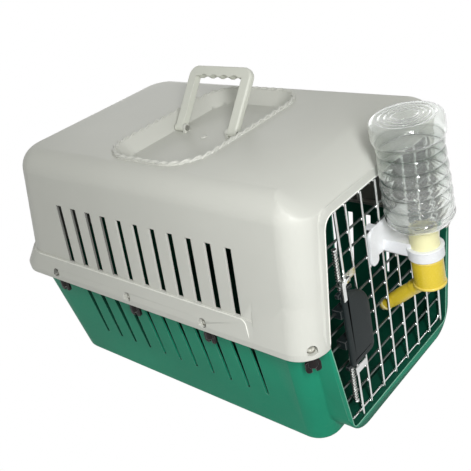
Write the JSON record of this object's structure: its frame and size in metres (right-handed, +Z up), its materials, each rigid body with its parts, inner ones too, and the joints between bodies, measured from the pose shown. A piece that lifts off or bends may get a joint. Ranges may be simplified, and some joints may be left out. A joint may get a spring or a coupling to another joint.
{
  "type": "pet carrier",
  "caption": "Two-shell plastic pet carrier with a wire door, squeeze latch, folding handle and a drinking bottle held on the door",
  "frame": {"origin": "centre of the flat underside of the tub", "axes": "+Z up, the door faces -Y, +X is to the right when facing +Y"},
  "size_m": [0.313, 0.5537, 0.3523],
  "materials": {
    "shell_green": "satin moulded polypropylene",
    "shell_grey": "satin moulded polypropylene",
    "handle_grey": "satin moulded polypropylene",
    "steel_pin": "turned",
    "bolt_white": "moulded nylon",
    "nut_dark": "moulded nylon",
    "wire_chrome": "bright plated wire",
    "spring_steel": "drawn wire",
    "latch_dark": "fine-grained",
    "bottle_clear": "clear blown PET, lightly ribbed",
    "cap_yellow": "satin, slightly translucent",
    "cup_yellow": "glossy moulded",
    "seal_rubber": "soft rubber",
    "holder_white": "glossy moulded"
  },
  "bodies": {
    "crate": {"tub": "shell_green", "roof_shell": "shell_grey", "handle_ears": "shell_grey", "handle_pins": "steel_pin", "flange_bolts": "bolt_white", "bolt_washers": "bolt_white", "wing_nuts": "nut_dark"},
    "door": {"door_frame_wire": "wire_chrome", "horizontal_wires": "wire_chrome", "vertical_wires": "wire_chrome", "hinge_rod": "wire_chrome", "latch_guides": "latch_dark", "latch_plate": "latch_dark", "bottle": "bottle_clear", "bottle_cap": "cap_yellow", "cap_seal": "seal_rubber", "valve_cup": "cup_yellow", "drinking_tube": "cup_yellow", "tube_nozzle": "spring_steel", "bottle_holder": "holder_white"},
    "latch_upper": {"upper_latch_bolt": "wire_chrome", "upper_latch_spring": "spring_steel"},
    "latch_lower": {"lower_latch_bolt": "wire_chrome", "lower_latch_spring": "spring_steel"},
    "handle": {"carry_handle": "handle_grey"},
    "valve": {"valve_ball": "spring_steel"}
  },
  "joints": [
    {"name": "door_hinge", "type": "hinge", "parent": "crate", "child": "door", "pos_m": [0.0994, -0.23573, 0.145], "axis": [0, 0, 1], "range_deg": [0, 110]},
    {"name": "latch_throw", "type": "slide", "parent": "door", "child": "latch_upper", "axis": [0, 0, 1], "range_m": [0, 0.008], "stiffness_N_per_m": 60, "springref_m": 0.02, "deforming": ["upper_latch_spring"]},
    {"name": "latch_follow", "type": "slide", "parent": "door", "child": "latch_lower", "axis": [0, 0, -1], "range_m": [0, 0.008], "deforming": ["lower_latch_spring"]},
    {"name": "handle_fold", "type": "hinge", "parent": "crate", "child": "handle", "pos_m": [0, -0.011, 0.2919], "axis": [0, 1, 0], "range_deg": [-129, 49]},
    {"name": "valve_push", "type": "slide", "parent": "door", "child": "valve", "axis": [0, -0.7547, 0.6561], "range_m": [0, 0.0012]}
  ],
  "couplings": [
    {"joint": "latch_follow", "follows": "latch_throw", "ratio": 1}
  ]
}
